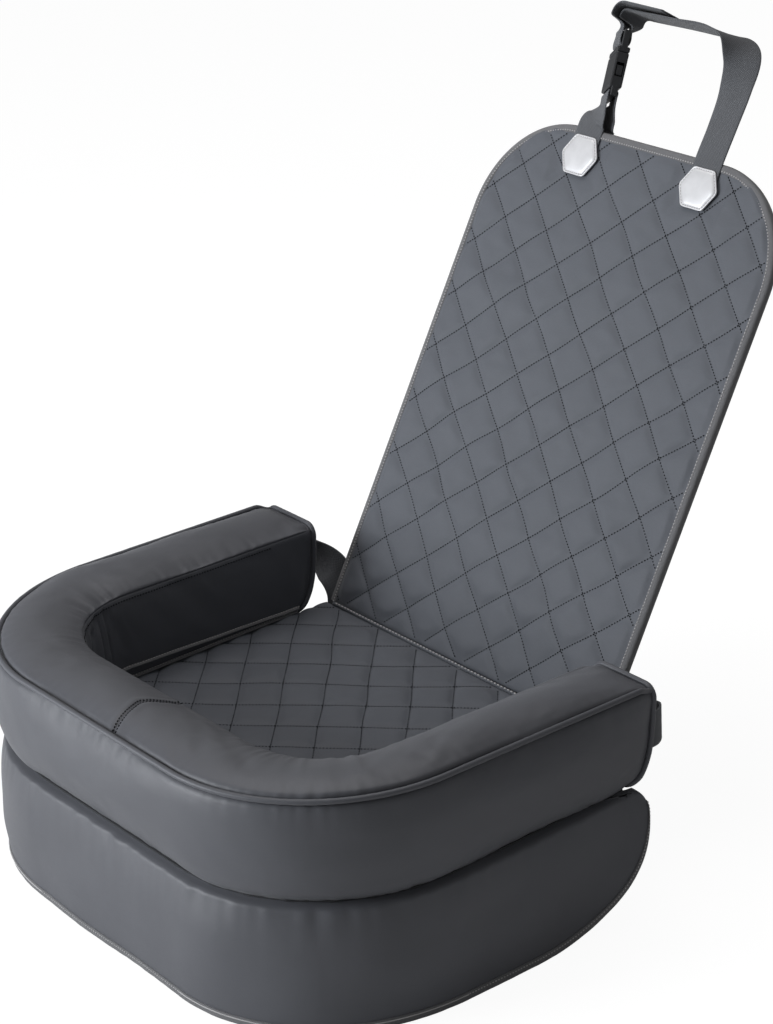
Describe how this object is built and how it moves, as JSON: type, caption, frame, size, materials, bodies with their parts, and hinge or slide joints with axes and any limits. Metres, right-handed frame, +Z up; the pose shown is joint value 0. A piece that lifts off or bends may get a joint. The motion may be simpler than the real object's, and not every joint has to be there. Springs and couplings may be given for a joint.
{
  "type": "dog car seat",
  "caption": "Padded booster seat for a small dog: U-shaped bolster round a quilted pad, with a skirt, a folding quilted backrest and buckled webbing straps.",
  "frame": {"origin": "middle of the box in X and Y, at the skirt's hem, which stands on the floor", "axes": "+Z up, the open rear and the backrest toward +Y, +X to the right seen from the front"},
  "size_m": [0.6298, 0.8228, 0.7538],
  "materials": {
    "backing": "dark woven backing",
    "binding": "woven warm-grey tape",
    "quilt": "quilted charcoal-blue coated cloth",
    "wadding": "white wadding",
    "base": "dark non-slip cloth",
    "plastic": "moulded black plastic",
    "webbing": "woven grey webbing",
    "foam": "soft foam",
    "leather": "smooth charcoal faux leather",
    "patch": "silvery light-grey faux leather"
  },
  "bodies": {
    "seat": {"band_seam_lip": "binding", "base_panel": "base", "belt_plug": "plastic", "belt_strap_left": "webbing", "belt_strap_right": "webbing", "bolster_foam_core": "foam", "bolster_inner_band": "leather", "bolster_outer_band": "leather", "bolster_piping": "leather", "bolster_top_panel": "leather", "end_panel_left": "leather", "end_panel_right": "leather", "end_piping_left": "leather", "end_piping_right": "leather", "fold_seam": "binding", "pad_seam_lip": "binding", "seat_pad_quilt": "quilt", "seat_pad_wadding": "wadding", "skirt_binding": "binding", "skirt_panel": "leather"},
    "backrest": {"backrest_backing": "backing", "backrest_binding": "binding", "backrest_quilt": "quilt", "backrest_wadding": "wadding", "headrest_long_strap": "webbing", "headrest_plug": "plastic", "headrest_short_strap": "webbing", "patch_left": "patch", "patch_right": "patch"},
    "headrest_socket": {"headrest_socket": "plastic"},
    "headrest_latch_left": {"headrest_latch_left": "plastic"},
    "headrest_latch_right": {"headrest_latch_right": "plastic"},
    "belt_socket": {"belt_socket": "plastic"},
    "belt_latch_left": {"belt_latch_left": "plastic"},
    "belt_latch_right": {"belt_latch_right": "plastic"}
  },
  "joints": [
    {"name": "backrest_fold", "type": "hinge", "parent": "seat", "child": "backrest", "pos_m": [0, 0.0391, 0.1373], "axis": [1, 0, 0], "range_deg": [-60, 90]},
    {"name": "headrest_release", "type": "slide", "parent": "backrest", "child": "headrest_socket", "axis": [0.1736, -0.4924, -0.8529], "range_m": [0, 0.028], "deforming": ["headrest_short_strap", "headrest_latch_left", "headrest_latch_right"]},
    {"name": "belt_release", "type": "slide", "parent": "seat", "child": "belt_socket", "axis": [1, 0, 0], "range_m": [0, 0.028], "deforming": ["belt_strap_right", "belt_latch_left", "belt_latch_right"]},
    {"name": "headrest_latch_left_pinch", "type": "hinge", "parent": "backrest", "child": "headrest_latch_left", "pos_m": [-0.09696, 0.37308, 0.69102], "axis": [0.6063, 0.7359, -0.3014], "range_deg": [-6, 0], "stiffness_Nm_per_rad": 0.5},
    {"name": "headrest_latch_right_pinch", "type": "hinge", "parent": "backrest", "child": "headrest_latch_right", "pos_m": [-0.07912, 0.36239, 0.70082], "axis": [0.6063, 0.7359, -0.3014], "range_deg": [0, 6], "stiffness_Nm_per_rad": 0.5},
    {"name": "belt_latch_left_pinch", "type": "hinge", "parent": "seat", "child": "belt_latch_left", "pos_m": [-0.01135, 0.0676, 0.0605], "axis": [0, 1, 0], "range_deg": [-6, 0], "stiffness_Nm_per_rad": 0.5},
    {"name": "belt_latch_right_pinch", "type": "hinge", "parent": "seat", "child": "belt_latch_right", "pos_m": [-0.01135, 0.0676, 0.0835], "axis": [0, 1, 0], "range_deg": [0, 6], "stiffness_Nm_per_rad": 0.5}
  ],
  "couplings": [
    {"joint": "headrest_latch_left_pinch", "follows": "headrest_latch_right_pinch", "ratio": -1},
    {"joint": "belt_latch_left_pinch", "follows": "belt_latch_right_pinch", "ratio": -1}
  ]
}
